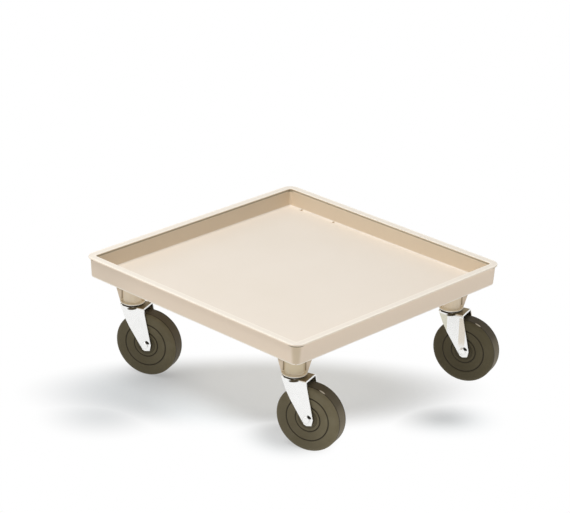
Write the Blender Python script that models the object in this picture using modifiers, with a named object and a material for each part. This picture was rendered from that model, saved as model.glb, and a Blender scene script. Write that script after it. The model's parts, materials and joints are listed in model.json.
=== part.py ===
"""Platform trolley without a handle: a square moulded tray on four swivel stem casters.

Metres, +Z up. The tray's sides face -X, +X, -Y and +Y. All the wheels trail towards
+X, so two of them stand out past the tray there, and the origin is on the floor under
the middle of the whole outline: the tray's own middle is at TRAY_X. Each caster is
built once in its own frame, with its swivel axis on Z and its wheel trailing towards
+X, and is then turned to its heading.
"""

from math import acos, cos, pi, radians, sin, tan

import bmesh
import bpy
from mathutils import Matrix, Vector

# ---------------------------------------------------------------- driving sizes
CLEARANCE = 0.0003            # between pieces that touch or run on each other

DECK_WIDTH = 0.556            # square, over the rim
DECK_DEPTH = 0.0415           # top of the rim to the feet of the walls
RIM_WIDTH = 0.0155            # flat top of the rim, lip to inner wall
RIM_HEIGHT = 0.0038
LIP_OVERHANG = 0.0038         # lip proud of the outer wall
INNER_DRAFT = radians(7.0)    # the inner wall leans in towards the floor
OUTER_DRAFT = radians(5.2)    # so does the outer one, less
WALL_THICKNESS = 0.0036       # the two walls, open below between them
CHANNEL_ROOF = 0.005          # thickness of the rim over the space between the walls
FLOOR_THICKNESS = 0.004
FLOOR_RISE = 0.0032           # feet of the walls to the underside of the floor
RIM_CORNER = 0.022            # plan radius of the lip's corners
FOOT_CORNER = 0.012           # plan radius at the foot of the outer wall
INNER_CORNER = 0.0042         # plan radius inside the tray
FOOT_ROUND = 0.0012           # rounding of the outer wall's lower edge
RIM_OUTER_ROUND = 0.0016
RIM_INNER_ROUND = 0.002
FLOOR_ROUND = 0.003           # fillet between the inner wall and the floor
CORNER_STEPS = 4

RIB_HEIGHT = 0.010            # stiffening ribs under the floor
RIB_THICKNESS = 0.004
TIE_HEIGHT = 0.010            # webs across the space between the walls
TIE_LIFT = 0.0005             # those webs start this much above the walls' feet

BOSS_HEIGHT = 0.0505          # foot of the boss to the feet of the walls
BOSS_RADIUS = 0.018
BOSS_FLANGE_RADIUS = 0.0235
BOSS_FLANGE_HEIGHT = 0.003
GUSSET_THICKNESS = 0.004
GUSSET_SPREAD = 0.0365        # reach of a gusset from the boss axis, level with the walls' feet
STEM_INSET = 0.065            # stem axis to the rim's outer face, along X and along Y
BOSS_STEPS = 16

DRAIN_RADIUS = 0.003          # two holes along the foot of the +Y wall
DRAIN_FROM_CORNER = 0.035
DRAIN_SPACING = 0.088

SLEEVE_RADIUS = 0.011
SLEEVE_HEIGHT = 0.048
SLEEVE_WALL = 0.005

PIN_RADIUS = 0.0055
PIN_TOP_CHAMFER = 0.0015
PIN_END_ROOM = 0.003          # pin's top to the sleeve's top
PIN_HEAD_RADIUS = 0.008
PIN_HEAD_HEIGHT = 0.0024
GROOVE_DEPTH = 0.0011
GROOVE_BELOW_TOP = 0.008
GRIP_WIRE_RADIUS = 0.00045
GRIP_OPENING = radians(50.0)

RACE_RADIUS = 0.020
RACE_THICKNESS = 0.0016
CROWN_GAP = 0.0008            # race to the top of the fork
BALL_DIAMETER = 0.0042
BALL_COUNT = 9
CAGE_THICKNESS = 0.0008
WASHER_RADIUS = 0.012
WASHER_THICKNESS = 0.002
RETAINER_RADIUS = 0.013
RETAINER_THICKNESS = 0.002

SHEET = 0.0025                # fork, pressed steel
WHEEL_TOP_GAP = 0.0088        # top of the wheel to the underside of the fork's crown
FORK_HALF_WIDTH = 0.0202      # outer face of a leg from the fork's middle plane
FORK_BEND_RADIUS = 0.0055
DISH_RADIUS = 0.0134          # flat bottom of the ball dish pressed into the crown
DISH_SLOPE = 0.45             # widening of the dish for each metre it rises
CREASE_FRONT = 0.0025         # the leg's flat lies between two upright creases
CREASE_REAR = 0.0255
FRONT_SLOPE = 0.22
REAR_SLOPE = 0.03
CROWN_FRONT = 0.0160          # crown ahead of the swivel axis
CROWN_REAR = 0.0330           # crown behind the swivel axis
LEG_KNEE_DROP = 0.0255        # crown top to the knee in the leg's front edge
LEG_KNEE_INSET = 0.009        # knee behind the crown's front edge
LEG_END_DROP = 0.0115         # axle to the clipped lower end of the leg
LEG_END_FRONT = 0.004         # clipped end, ahead of and behind the axle
LEG_END_REAR = 0.0105
LEG_REAR_REACH = 0.0128       # axle to the leg's rear edge, at axle height
LEG_CORNER_CUT = 0.0020

TRAIL = 0.03565               # swivel axis to the axle
WHEEL_DIAMETER = 0.125
TREAD_FLAT_WIDTH = 0.024
SHOULDER_WIDTH = 0.0042
SHOULDER_DROP = 0.0075
FACE_RIDGE_RADIUS = 0.042     # widest ring of the wheel's face
FACE_RIDGE_OUT = 0.0160
HUB_RECESS_RADIUS = 0.025
HUB_RECESS_OUT = 0.0140
HUB_RADIUS = 0.0115
HUB_DRAFT = 0.0010
WHEEL_STEPS = 32

AXLE_RADIUS = 0.004
AXLE_SLEEVE_WALL = 0.002
AXLE_PAD_RADIUS = 0.0083
AXLE_PAD_PROUD = 0.0003       # flat seat pressed proud of the leg's outer face
AXLE_PAD_IN = 0.0010          # the same seat, inside the fork
AXLE_WASHER_RADIUS = 0.0078
AXLE_WASHER_THICKNESS = 0.0012
BOLT_HEAD_RADIUS = 0.0070
BOLT_HEAD_HEIGHT = 0.0022
BOLT_HEAD_CHAMFER = 0.0010
NUT_ACROSS_FLATS = 0.013
NUT_HEIGHT = 0.0055
BOLT_END_PROUD = 0.0008
ROUND_STEPS = 12

# name, side along X, side along Y, heading of the trailing wheel from +X
CASTERS = (
    ("front_left", -1, -1, radians(20.6)),
    ("front_right", 1, -1, radians(17.5)),
    ("rear_right", 1, 1, radians(17.8)),
    ("rear_left", -1, 1, radians(18.5)),
)

# ---------------------------------------------------------------- worked out
WHEEL_RADIUS = WHEEL_DIAMETER / 2
AXLE_Z = WHEEL_RADIUS
CROWN_Z = WHEEL_DIAMETER + WHEEL_TOP_GAP + SHEET
RACE_FOOT_Z = CROWN_Z + CROWN_GAP
RACE_TOP_Z = RACE_FOOT_Z + RACE_THICKNESS
BOSS_FOOT_Z = RACE_TOP_Z + CLEARANCE

DECK_HALF = DECK_WIDTH / 2
WALL_FOOT_Z = BOSS_FOOT_Z + BOSS_HEIGHT
DECK_TOP_Z = WALL_FOOT_Z + DECK_DEPTH
UNDERSIDE_Z = WALL_FOOT_Z + FLOOR_RISE
FLOOR_Z = UNDERSIDE_Z + FLOOR_THICKNESS
FLOOR_MIDDLE_Z = FLOOR_Z - FLOOR_THICKNESS / 2
INNER_TOP_HALF = DECK_HALF - RIM_WIDTH
INNER_FLOOR_HALF = INNER_TOP_HALF - (DECK_TOP_Z - FLOOR_Z) * tan(INNER_DRAFT)
WALL_TOP_HALF = DECK_HALF - LIP_OVERHANG
WALL_FOOT_HALF = WALL_TOP_HALF - (DECK_DEPTH - RIM_HEIGHT) * tan(OUTER_DRAFT)
CHANNEL_TOP_Z = DECK_TOP_Z - CHANNEL_ROOF
CHANNEL_FOOT_OUTER = WALL_FOOT_HALF - WALL_THICKNESS
CHANNEL_TOP_OUTER = CHANNEL_FOOT_OUTER + (CHANNEL_TOP_Z - WALL_FOOT_Z) * tan(OUTER_DRAFT)
CHANNEL_TOP_INNER = INNER_TOP_HALF + WALL_THICKNESS - CHANNEL_ROOF * tan(INNER_DRAFT)
CHANNEL_FOOT_INNER = CHANNEL_TOP_INNER - (CHANNEL_TOP_Z - WALL_FOOT_Z) * tan(INNER_DRAFT)
SKIRT_HALF = CHANNEL_FOOT_INNER - WALL_THICKNESS
STEM_HALF = DECK_HALF - STEM_INSET
DRAIN_FIRST = DRAIN_FROM_CORNER - INNER_FLOOR_HALF
RIB_PLACES = (-STEM_HALF, 0.0, STEM_HALF)

BORE_RADIUS = SLEEVE_RADIUS + CLEARANCE
SLEEVE_FOOT_Z = BOSS_FOOT_Z + CLEARANCE
SLEEVE_TOP_Z = SLEEVE_FOOT_Z + SLEEVE_HEIGHT
SLEEVE_BORE = SLEEVE_RADIUS - SLEEVE_WALL
PIN_TOP_Z = SLEEVE_TOP_Z - PIN_END_ROOM
GROOVE_Z = PIN_TOP_Z - GROOVE_BELOW_TOP
GROOVE_HALF_HEIGHT = GRIP_WIRE_RADIUS + CLEARANCE
GROOVE_RADIUS = PIN_RADIUS - GROOVE_DEPTH
PIN_HOLE_RADIUS = PIN_RADIUS + CLEARANCE

BALL_RADIUS = BALL_DIAMETER / 2
BALL_Z = RACE_FOOT_Z - CLEARANCE - BALL_RADIUS
DISH_Z = BALL_Z - BALL_RADIUS - CLEARANCE
BALL_PITCH_RADIUS = DISH_RADIUS - BALL_RADIUS - CLEARANCE
DISH_FOOT_Z = DISH_Z - SHEET
WASHER_TOP_Z = DISH_FOOT_Z - CLEARANCE
RETAINER_TOP_Z = WASHER_TOP_Z - WASHER_THICKNESS - CLEARANCE
PIN_HEAD_TOP_Z = RETAINER_TOP_Z - RETAINER_THICKNESS - CLEARANCE

PAD_OUTER = FORK_HALF_WIDTH + AXLE_PAD_PROUD
PAD_INNER = FORK_HALF_WIDTH - SHEET - AXLE_PAD_IN
HUB_HALF_WIDTH = PAD_INNER - CLEARANCE
AXLE_HOLE_RADIUS = AXLE_RADIUS + CLEARANCE
AXLE_SLEEVE_RADIUS = AXLE_HOLE_RADIUS + AXLE_SLEEVE_WALL
HUB_BORE_RADIUS = AXLE_SLEEVE_RADIUS + CLEARANCE
HEAD_SEAT = PAD_OUTER + CLEARANCE
NUT_SEAT = HEAD_SEAT + AXLE_WASHER_THICKNESS + CLEARANCE

OUTLINE_REACH = max(
    side_x * STEM_HALF + (TRAIL + WHEEL_RADIUS) * cos(heading) + TREAD_FLAT_WIDTH / 2 * sin(heading)
    for _, side_x, _, heading in CASTERS
)
TRAY_X = (DECK_HALF - max(DECK_HALF, OUTLINE_REACH)) / 2

# ---------------------------------------------------------------- scene helpers
for old in list(bpy.data.objects):
    bpy.data.objects.remove(old, do_unlink=True)

parts = bpy.data.collections.new("platform_trolley")
cutters = bpy.data.collections.new("cutters")
bpy.context.scene.collection.children.link(parts)
bpy.context.scene.collection.children.link(cutters)


def material(name, colour, roughness, metallic=0.0):
    made = bpy.data.materials.new(name)
    made.use_nodes = True
    shader = made.node_tree.nodes["Principled BSDF"]
    shader.inputs["Base Color"].default_value = (*colour, 1.0)
    shader.inputs["Roughness"].default_value = roughness
    shader.inputs["Metallic"].default_value = metallic
    return made


def new_object(name, mesh, collection=parts):
    made = bpy.data.objects.new(name, mesh)
    collection.objects.link(made)
    return made


def cutter(name, mesh):
    """An object that only shapes others: left out of renders and drawn as wire."""
    made = new_object(name, mesh, cutters)
    made.hide_render = True
    made.display_type = "WIRE"
    return made


def from_bmesh(name, bm):
    mesh = bpy.data.meshes.new(name)
    bm.to_mesh(mesh)
    bm.free()
    return mesh


def settled(made, angle=radians(35)):
    """The object's mesh with its modifiers applied and its round faces smooth."""
    bpy.context.view_layer.update()
    evaluated = made.evaluated_get(bpy.context.evaluated_depsgraph_get())
    mesh = bpy.data.meshes.new_from_object(evaluated)
    mesh.transform(made.matrix_world)
    mesh.name = made.name
    mesh.shade_smooth()
    mesh.set_sharp_from_angle(angle=angle)
    bpy.data.objects.remove(made, do_unlink=True)
    return mesh


def boolean(made, other, operation):
    joint = made.modifiers.new(f"{operation.lower()}_{other.name}", "BOOLEAN")
    joint.operation = operation
    joint.solver = "EXACT"
    joint.object = other


def lathe(name, profile, steps, closed=True):
    """Turn (radius, z) points about Z. They run down the outer side, top to bottom."""
    bm = bmesh.new()
    points = [bm.verts.new((radius, 0.0, z)) for radius, z in profile]
    for first, second in zip(points, points[1:]):
        bm.edges.new((first, second))
    if closed:
        bm.edges.new((points[-1], points[0]))
    made = cutter(name, from_bmesh(name, bm))
    screw = made.modifiers.new("turn", "SCREW")
    screw.steps = screw.render_steps = steps
    screw.use_merge_vertices = True
    screw.merge_threshold = 0.00001
    return settled(made)


def tube(name, outer, inner, low, high, steps=ROUND_STEPS):
    return lathe(name, [(outer, high), (outer, low), (inner, low), (inner, high)], steps)


def disc(name, radius, low, high, steps=ROUND_STEPS):
    profile = [(0.0, high), (radius, high), (radius, low), (0.0, low)]
    return lathe(name, profile, steps, closed=False)


def plate(name, outline, thickness):
    """A flat outline in X and Z, with its thickness centred on Y."""
    curve = bpy.data.curves.new(name, "CURVE")
    curve.dimensions = "2D"
    curve.fill_mode = "BOTH"
    curve.extrude = thickness / 2
    spline = curve.splines.new("POLY")
    spline.points.add(len(outline) - 1)
    for point, (x, z) in zip(spline.points, outline):
        point.co = (x, z, 0.0, 1.0)
    spline.use_cyclic_u = True
    made = new_object(name, curve, cutters)
    made.rotation_euler.x = pi / 2
    mesh = settled(made)
    bm = bmesh.new()
    bm.from_mesh(mesh)
    bmesh.ops.remove_doubles(bm, verts=bm.verts, dist=0.00001)
    bm.to_mesh(mesh)
    bm.free()
    return mesh


def moved(mesh, x=0.0, y=0.0, z=0.0, angle=0.0, axis="Z"):
    """A copy of a mesh, turned about an axis through the origin and then moved."""
    copy = mesh.copy()
    copy.transform(Matrix.Translation((x, y, z)) @ Matrix.Rotation(angle, 4, axis))
    return copy


# ---------------------------------------------------------------- tray
def filleted(corners, steps):
    """Round the corners of a section. Each is (half width, z, fillet, plan radius)."""
    rings = []
    for index, (half, z, fillet, plan) in enumerate(corners):
        if fillet == 0.0:
            rings.append((half, z, plan))
            continue
        here = Vector((half, z))
        before = (Vector(corners[index - 1][:2]) - here).normalized()
        after = (Vector(corners[(index + 1) % len(corners)][:2]) - here).normalized()
        opening = acos(before.dot(after))
        centre = here + (before + after).normalized() * fillet / sin(opening / 2)
        start = here + before * fillet / tan(opening / 2) - centre
        turn = pi - opening
        if before.x * after.y > before.y * after.x:
            turn = -turn
        for step in range(steps + 1):
            point = centre + Matrix.Rotation(turn * step / steps, 2) @ start
            rings.append((point.x, point.y, plan + point.x - half))
    return rings


def rounded_square(half, z, radius):
    points = []
    for quarter, (side_x, side_y) in enumerate(((1, 1), (-1, 1), (-1, -1), (1, -1))):
        for step in range(CORNER_STEPS + 1):
            angle = (quarter + step / CORNER_STEPS) * pi / 2
            x = side_x * (half - radius) + radius * cos(angle)
            y = side_y * (half - radius) + radius * sin(angle)
            points.append((x, y, z))
    return points


def tray_shell():
    """The tray alone: one wall section carried round a square with rounded corners."""
    lip_z = DECK_TOP_Z - RIM_HEIGHT
    section = (
        (0.5 * SKIRT_HALF, UNDERSIDE_Z, 0.0, INNER_CORNER),
        (SKIRT_HALF, UNDERSIDE_Z, 0.0, INNER_CORNER),
        (SKIRT_HALF, WALL_FOOT_Z, 0.0, INNER_CORNER),
        (CHANNEL_FOOT_INNER, WALL_FOOT_Z, 0.0, INNER_CORNER + WALL_THICKNESS),
        (CHANNEL_TOP_INNER, CHANNEL_TOP_Z, 0.0, INNER_CORNER + WALL_THICKNESS),
        (CHANNEL_TOP_OUTER, CHANNEL_TOP_Z, 0.0, FOOT_CORNER),
        (CHANNEL_FOOT_OUTER, WALL_FOOT_Z, 0.0, FOOT_CORNER - WALL_THICKNESS),
        (WALL_FOOT_HALF, WALL_FOOT_Z, FOOT_ROUND, FOOT_CORNER),
        (WALL_TOP_HALF, lip_z, 0.0, RIM_CORNER - LIP_OVERHANG),
        (DECK_HALF, lip_z, 0.0, RIM_CORNER),
        (DECK_HALF, DECK_TOP_Z, RIM_OUTER_ROUND, RIM_CORNER),
        (INNER_TOP_HALF, DECK_TOP_Z, RIM_INNER_ROUND, INNER_CORNER),
        (INNER_FLOOR_HALF, FLOOR_Z, FLOOR_ROUND, INNER_CORNER),
        (0.5 * INNER_FLOOR_HALF, FLOOR_Z, 0.0, INNER_CORNER),
    )
    bm = bmesh.new()
    rings = []
    for half, z, plan in filleted(section, 2)[1:-1]:
        rings.append([bm.verts.new(point) for point in rounded_square(half, z, plan)])
    count = len(rings[0])
    for lower, upper in zip(rings, rings[1:]):
        for place in range(count):
            after = (place + 1) % count
            bm.faces.new((lower[place], lower[after], upper[after], upper[place]))
    bm.faces.new(reversed(rings[0]))
    bm.faces.new(rings[-1])
    return from_bmesh("deck_tray", bm)


def socket_boss():
    """One leg socket: a stout tube with a flange at its foot, run up into the floor."""
    top = FLOOR_MIDDLE_Z
    flange_top = BOSS_FOOT_Z + BOSS_FLANGE_HEIGHT
    profile = [
        (0.0, top),
        (BOSS_RADIUS, top),
        (BOSS_RADIUS, flange_top),
        (BOSS_FLANGE_RADIUS, flange_top),
        (BOSS_FLANGE_RADIUS, BOSS_FOOT_Z),
        (0.0, BOSS_FOOT_Z),
    ]
    return lathe("socket_boss", profile, BOSS_STEPS, closed=False)


def gusset_plate():
    """Two opposite gussets in one plate through the boss axis, wider towards the tray."""
    top = FLOOR_MIDDLE_Z
    outline = (
        (-GUSSET_SPREAD, top),
        (-GUSSET_SPREAD, WALL_FOOT_Z),
        (-BOSS_FLANGE_RADIUS + CLEARANCE, BOSS_FOOT_Z + BOSS_FLANGE_HEIGHT / 2),
        (BOSS_FLANGE_RADIUS - CLEARANCE, BOSS_FOOT_Z + BOSS_FLANGE_HEIGHT / 2),
        (GUSSET_SPREAD, WALL_FOOT_Z),
        (GUSSET_SPREAD, top),
    )
    return plate("gusset_plate", outline, GUSSET_THICKNESS)


def rib():
    """A straight stiffening rib along X, under the floor."""
    top = FLOOR_MIDDLE_Z
    low = UNDERSIDE_Z - RIB_HEIGHT
    outline = ((-STEM_HALF, top), (-STEM_HALF, low), (STEM_HALF, low), (STEM_HALF, top))
    return plate("rib", outline, RIB_THICKNESS)


def wall_ties():
    """Webs across the space between the two walls, in line with the ribs."""
    inner = CHANNEL_FOOT_INNER - WALL_THICKNESS / 2
    outer = WALL_FOOT_HALF - WALL_THICKNESS / 2
    size = Matrix.Diagonal((outer - inner, RIB_THICKNESS, TIE_HEIGHT, 1.0))
    middle_z = WALL_FOOT_Z + TIE_LIFT + TIE_HEIGHT / 2
    bm = bmesh.new()
    for place in RIB_PLACES:
        spot = Matrix.Translation(((inner + outer) / 2, place, middle_z))
        for quarter in range(4):
            turn = Matrix.Rotation(quarter * pi / 2, 4, "Z")
            bmesh.ops.create_cube(bm, size=1.0, matrix=turn @ spot @ size)
    return from_bmesh("wall_ties", bm)


def deck_tray():
    tray = cutter("tray", tray_shell())
    boolean(tray, cutter("wall_ties", wall_ties()), "UNION")
    boss, gussets, straight = socket_boss(), gusset_plate(), rib()
    bore = disc("socket_bore", BORE_RADIUS, BOSS_FOOT_Z - BOSS_FLANGE_HEIGHT,
                SLEEVE_TOP_Z + CLEARANCE, BOSS_STEPS)
    for name, side_x, side_y, _ in CASTERS:
        x, y = side_x * STEM_HALF, side_y * STEM_HALF
        boolean(tray, cutter(f"boss_{name}", moved(boss, x, y)), "UNION")
        added = cutter(f"gusset_{name}", moved(gussets, x, y, angle=radians(45)))
        boolean(tray, added, "UNION")
    for index, place in enumerate(RIB_PLACES):
        boolean(tray, cutter(f"rib_along_x_{index}", moved(straight, y=place)), "UNION")
        across = moved(straight, x=place, angle=pi / 2)
        boolean(tray, cutter(f"rib_along_y_{index}", across), "UNION")
    for name, side_x, side_y, _ in CASTERS:
        hole = cutter(f"bore_{name}", moved(bore, side_x * STEM_HALF, side_y * STEM_HALF))
        boolean(tray, hole, "DIFFERENCE")
    drain = disc("drain", DRAIN_RADIUS, UNDERSIDE_Z - RIB_HEIGHT, DECK_TOP_Z, 12)
    drain_y = INNER_FLOOR_HALF - DRAIN_RADIUS
    for index, place in enumerate((DRAIN_FIRST, DRAIN_FIRST + DRAIN_SPACING)):
        boolean(tray, cutter(f"drain_{index}", moved(drain, place, drain_y)), "DIFFERENCE")
    made = new_object("deck_tray", settled(tray))
    made.data.materials.clear()
    made.data.materials.append(material("grey_polymer", (0.70, 0.63, 0.55), 0.45))
    made.location.x = TRAY_X


# ---------------------------------------------------------------- stem and head bearing
def stem_sleeve():
    return tube("stem_sleeve", SLEEVE_RADIUS, SLEEVE_BORE, SLEEVE_FOOT_Z, SLEEVE_TOP_Z, BOSS_STEPS)


def kingpin():
    """Stem, grip-ring groove and the riveted head that holds the fork up."""
    head_low = PIN_HEAD_TOP_Z - PIN_HEAD_HEIGHT
    profile = [
        (0.0, PIN_TOP_Z),
        (PIN_RADIUS - PIN_TOP_CHAMFER, PIN_TOP_Z),
        (PIN_RADIUS, PIN_TOP_Z - PIN_TOP_CHAMFER),
        (PIN_RADIUS, GROOVE_Z + GROOVE_HALF_HEIGHT),
        (GROOVE_RADIUS, GROOVE_Z + GROOVE_HALF_HEIGHT),
        (GROOVE_RADIUS, GROOVE_Z - GROOVE_HALF_HEIGHT),
        (PIN_RADIUS, GROOVE_Z - GROOVE_HALF_HEIGHT),
        (PIN_RADIUS, PIN_HEAD_TOP_Z),
        (PIN_HEAD_RADIUS, PIN_HEAD_TOP_Z),
        (PIN_HEAD_RADIUS, PIN_HEAD_TOP_Z - PIN_HEAD_HEIGHT / 3),
        (PIN_RADIUS, head_low),
        (0.0, head_low),
    ]
    return lathe("kingpin", profile, ROUND_STEPS, closed=False)


def grip_ring():
    """An open ring of round wire in the stem's groove."""
    radius = GROOVE_RADIUS + CLEARANCE + GRIP_WIRE_RADIUS
    points = 15
    curve = bpy.data.curves.new("grip_ring", "CURVE")
    curve.dimensions = "3D"
    curve.bevel_depth = GRIP_WIRE_RADIUS
    curve.bevel_resolution = 1
    curve.use_fill_caps = True
    spline = curve.splines.new("POLY")
    spline.points.add(points - 1)
    for index, point in enumerate(spline.points):
        angle = GRIP_OPENING / 2 + index / (points - 1) * (2 * pi - GRIP_OPENING)
        point.co = (radius * cos(angle), radius * sin(angle), GROOVE_Z, 1.0)
    mesh = settled(new_object("grip_ring", curve, cutters))
    bm = bmesh.new()
    bm.from_mesh(mesh)
    bmesh.ops.remove_doubles(bm, verts=bm.verts, dist=0.00001)
    bm.to_mesh(mesh)
    bm.free()
    return mesh


def upper_race():
    return tube("upper_race", RACE_RADIUS, PIN_HOLE_RADIUS, RACE_FOOT_Z, RACE_TOP_Z, BOSS_STEPS)


def caged_balls():
    """Balls between the race and the dish in the fork's crown, held in a flat cage."""
    half = CAGE_THICKNESS / 2
    made = cutter("caged_balls", tube("ball_cage", BALL_PITCH_RADIUS + BALL_RADIUS / 2,
                                      BALL_PITCH_RADIUS - BALL_RADIUS / 2,
                                      BALL_Z - half, BALL_Z + half, 12))
    bm = bmesh.new()
    for index in range(BALL_COUNT):
        angle = 2 * pi * index / BALL_COUNT
        place = (BALL_PITCH_RADIUS * cos(angle), BALL_PITCH_RADIUS * sin(angle), BALL_Z)
        bmesh.ops.create_uvsphere(bm, u_segments=6, v_segments=4, radius=BALL_RADIUS,
                                  matrix=Matrix.Translation(place))
    boolean(made, cutter("balls", from_bmesh("balls", bm)), "UNION")
    return settled(made, radians(60))


def swivel_washer():
    low = WASHER_TOP_Z - WASHER_THICKNESS
    return tube("swivel_washer", WASHER_RADIUS, PIN_HOLE_RADIUS, low, WASHER_TOP_Z)


def race_retainer():
    low = RETAINER_TOP_Z - RETAINER_THICKNESS
    return tube("race_retainer", RETAINER_RADIUS, PIN_HOLE_RADIUS, low, RETAINER_TOP_Z)


# ---------------------------------------------------------------- fork
def leg_face(x):
    """Distance of a leg's outer face from the middle plane, at x behind the swivel axis."""
    if x < CREASE_FRONT:
        return FORK_HALF_WIDTH - FRONT_SLOPE * (CREASE_FRONT - x)
    return FORK_HALF_WIDTH - REAR_SLOPE * max(0.0, x - CREASE_REAR)


def fork_sheet():
    """Half the folded sheet, crown and one leg, open at the middle plane."""
    foot = AXLE_Z - 2 * LEG_END_DROP
    stations = (-CROWN_FRONT - SHEET, CREASE_FRONT, CREASE_REAR, TRAIL + 2 * LEG_REAR_REACH)
    bend_steps = 3
    bm = bmesh.new()
    rows = []
    for x in stations:
        face = leg_face(x)
        row = [(x, -face, foot)]
        for step in range(bend_steps + 1):
            angle = step / bend_steps * pi / 2
            y = -face + FORK_BEND_RADIUS * (1 - cos(angle))
            row.append((x, y, CROWN_Z - FORK_BEND_RADIUS * (1 - sin(angle))))
        row.append((x, 0.0, CROWN_Z))
        rows.append([bm.verts.new(point) for point in row])
    for row, later in zip(rows, rows[1:]):
        for index in range(len(row) - 1):
            bm.faces.new((row[index], later[index], later[index + 1], row[index + 1]))
    made = cutter("fork_sheet", from_bmesh("fork_sheet", bm))
    mirror = made.modifiers.new("other_leg", "MIRROR")
    mirror.use_axis = (False, True, False)
    mirror.merge_threshold = 0.00001
    wall = made.modifiers.new("sheet", "SOLIDIFY")
    wall.thickness = SHEET
    wall.offset = -1.0
    wall.use_even_offset = True
    return made


def fork_outline():
    """Side view of crown and legs: knee in front, straight rear edge, clipped end."""
    knee = (-CROWN_FRONT + LEG_KNEE_INSET, CROWN_Z - LEG_KNEE_DROP)
    end_z = AXLE_Z - LEG_END_DROP
    return (
        (-CROWN_FRONT, CROWN_Z + SHEET),
        (-CROWN_FRONT, CROWN_Z - LEG_CORNER_CUT),
        knee,
        (TRAIL - LEG_END_FRONT, end_z + LEG_CORNER_CUT),
        (TRAIL + LEG_CORNER_CUT / 2, end_z),
        (TRAIL + LEG_END_REAR, end_z + LEG_CORNER_CUT),
        (TRAIL + LEG_REAR_REACH, AXLE_Z + LEG_CORNER_CUT),
        (CROWN_REAR + LEG_CORNER_CUT, CROWN_Z - LEG_CORNER_CUT),
        (CROWN_REAR, CROWN_Z + SHEET),
    )


def fork():
    """Pressed steel fork: folded sheet trimmed to its side view, ball dish, axle seats."""
    made = fork_sheet()
    width = 3 * FORK_HALF_WIDTH
    boss_top = CROWN_Z - SHEET / 2
    rise = boss_top - DISH_FOOT_Z
    foot_radius = DISH_RADIUS + SHEET / 2
    boss_profile = [
        (0.0, boss_top),
        (foot_radius + DISH_SLOPE * rise, boss_top),
        (foot_radius, DISH_FOOT_Z),
        (0.0, DISH_FOOT_Z),
    ]
    over = CROWN_Z + SHEET
    dish_profile = [
        (0.0, over),
        (DISH_RADIUS + DISH_SLOPE * (over - DISH_Z), over),
        (DISH_RADIUS, DISH_Z),
        (0.0, DISH_Z),
    ]
    seat = disc("axle_seat", AXLE_PAD_RADIUS, PAD_INNER, PAD_OUTER, ROUND_STEPS)
    helpers = [
        (cutter("dish_boss", lathe("dish_boss", boss_profile, BOSS_STEPS, False)), "UNION"),
        (cutter("seat_near", moved(seat, TRAIL, 0, AXLE_Z, pi / 2, "X")), "UNION"),
        (cutter("seat_far", moved(seat, TRAIL, 0, AXLE_Z, -pi / 2, "X")), "UNION"),
        (cutter("side_view", plate("side_view", fork_outline(), width)), "INTERSECT"),
        (cutter("ball_dish", lathe("ball_dish", dish_profile, BOSS_STEPS, False)), "DIFFERENCE"),
        (cutter("pin_hole", disc("pin_hole", PIN_HOLE_RADIUS, AXLE_Z, over)), "DIFFERENCE"),
        (cutter("axle_hole", moved(disc("axle_hole", AXLE_HOLE_RADIUS, -width, width),
                                   TRAIL, 0, AXLE_Z, pi / 2, "X")), "DIFFERENCE"),
    ]
    for helper, operation in helpers:
        boolean(made, helper, operation)
    made.name = "fork"
    return settled(made)


# ---------------------------------------------------------------- wheel and axle
def wheel():
    """One-piece wheel, turned about Z: round shoulders, a ridged face, a raised hub."""
    flat = TREAD_FLAT_WIDTH / 2
    side = [
        (HUB_BORE_RADIUS, HUB_HALF_WIDTH),
        (HUB_RADIUS, HUB_HALF_WIDTH),
        (HUB_RADIUS + HUB_DRAFT, HUB_RECESS_OUT),
        (HUB_RECESS_RADIUS, HUB_RECESS_OUT),
        (FACE_RIDGE_RADIUS, FACE_RIDGE_OUT),
        (WHEEL_RADIUS - SHOULDER_DROP, flat + SHOULDER_WIDTH),
        (WHEEL_RADIUS - SHOULDER_DROP * (1 - cos(pi / 4)), flat + SHOULDER_WIDTH * sin(pi / 4)),
        (WHEEL_RADIUS, flat),
    ]
    profile = side + [(radius, -out) for radius, out in reversed(side)]
    return lathe("wheel", profile, WHEEL_STEPS)


def axle_sleeve():
    half = HUB_HALF_WIDTH
    return tube("axle_sleeve", AXLE_SLEEVE_RADIUS, AXLE_HOLE_RADIUS, -half, half)


def nut_washer():
    return tube("nut_washer", AXLE_WASHER_RADIUS, AXLE_HOLE_RADIUS,
                -HEAD_SEAT - AXLE_WASHER_THICKNESS, -HEAD_SEAT)


def axle_bolt():
    """Low round head on one side, its shank through both legs and out past the nut."""
    head_top = HEAD_SEAT + BOLT_HEAD_HEIGHT
    end = -NUT_SEAT - NUT_HEIGHT - BOLT_END_PROUD
    profile = [
        (0.0, head_top),
        (BOLT_HEAD_RADIUS - BOLT_HEAD_CHAMFER, head_top),
        (BOLT_HEAD_RADIUS, head_top - BOLT_HEAD_CHAMFER),
        (BOLT_HEAD_RADIUS, HEAD_SEAT),
        (AXLE_RADIUS, HEAD_SEAT),
        (AXLE_RADIUS, end),
        (0.0, end),
    ]
    return lathe("axle_bolt", profile, ROUND_STEPS, closed=False)


def axle_nut():
    radius = NUT_ACROSS_FLATS / 2 / cos(pi / 6)
    middle = Matrix.Translation((0, 0, -NUT_SEAT - NUT_HEIGHT / 2))
    bm = bmesh.new()
    bmesh.ops.create_cone(bm, cap_ends=True, segments=6, radius1=radius, radius2=radius,
                          depth=NUT_HEIGHT, matrix=middle)
    made = cutter("axle_nut", from_bmesh("axle_nut", bm))
    hole = disc("nut_hole", AXLE_HOLE_RADIUS, -2 * NUT_SEAT, 0.0)
    boolean(made, cutter("nut_hole", hole), "DIFFERENCE")
    return settled(made)


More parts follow.
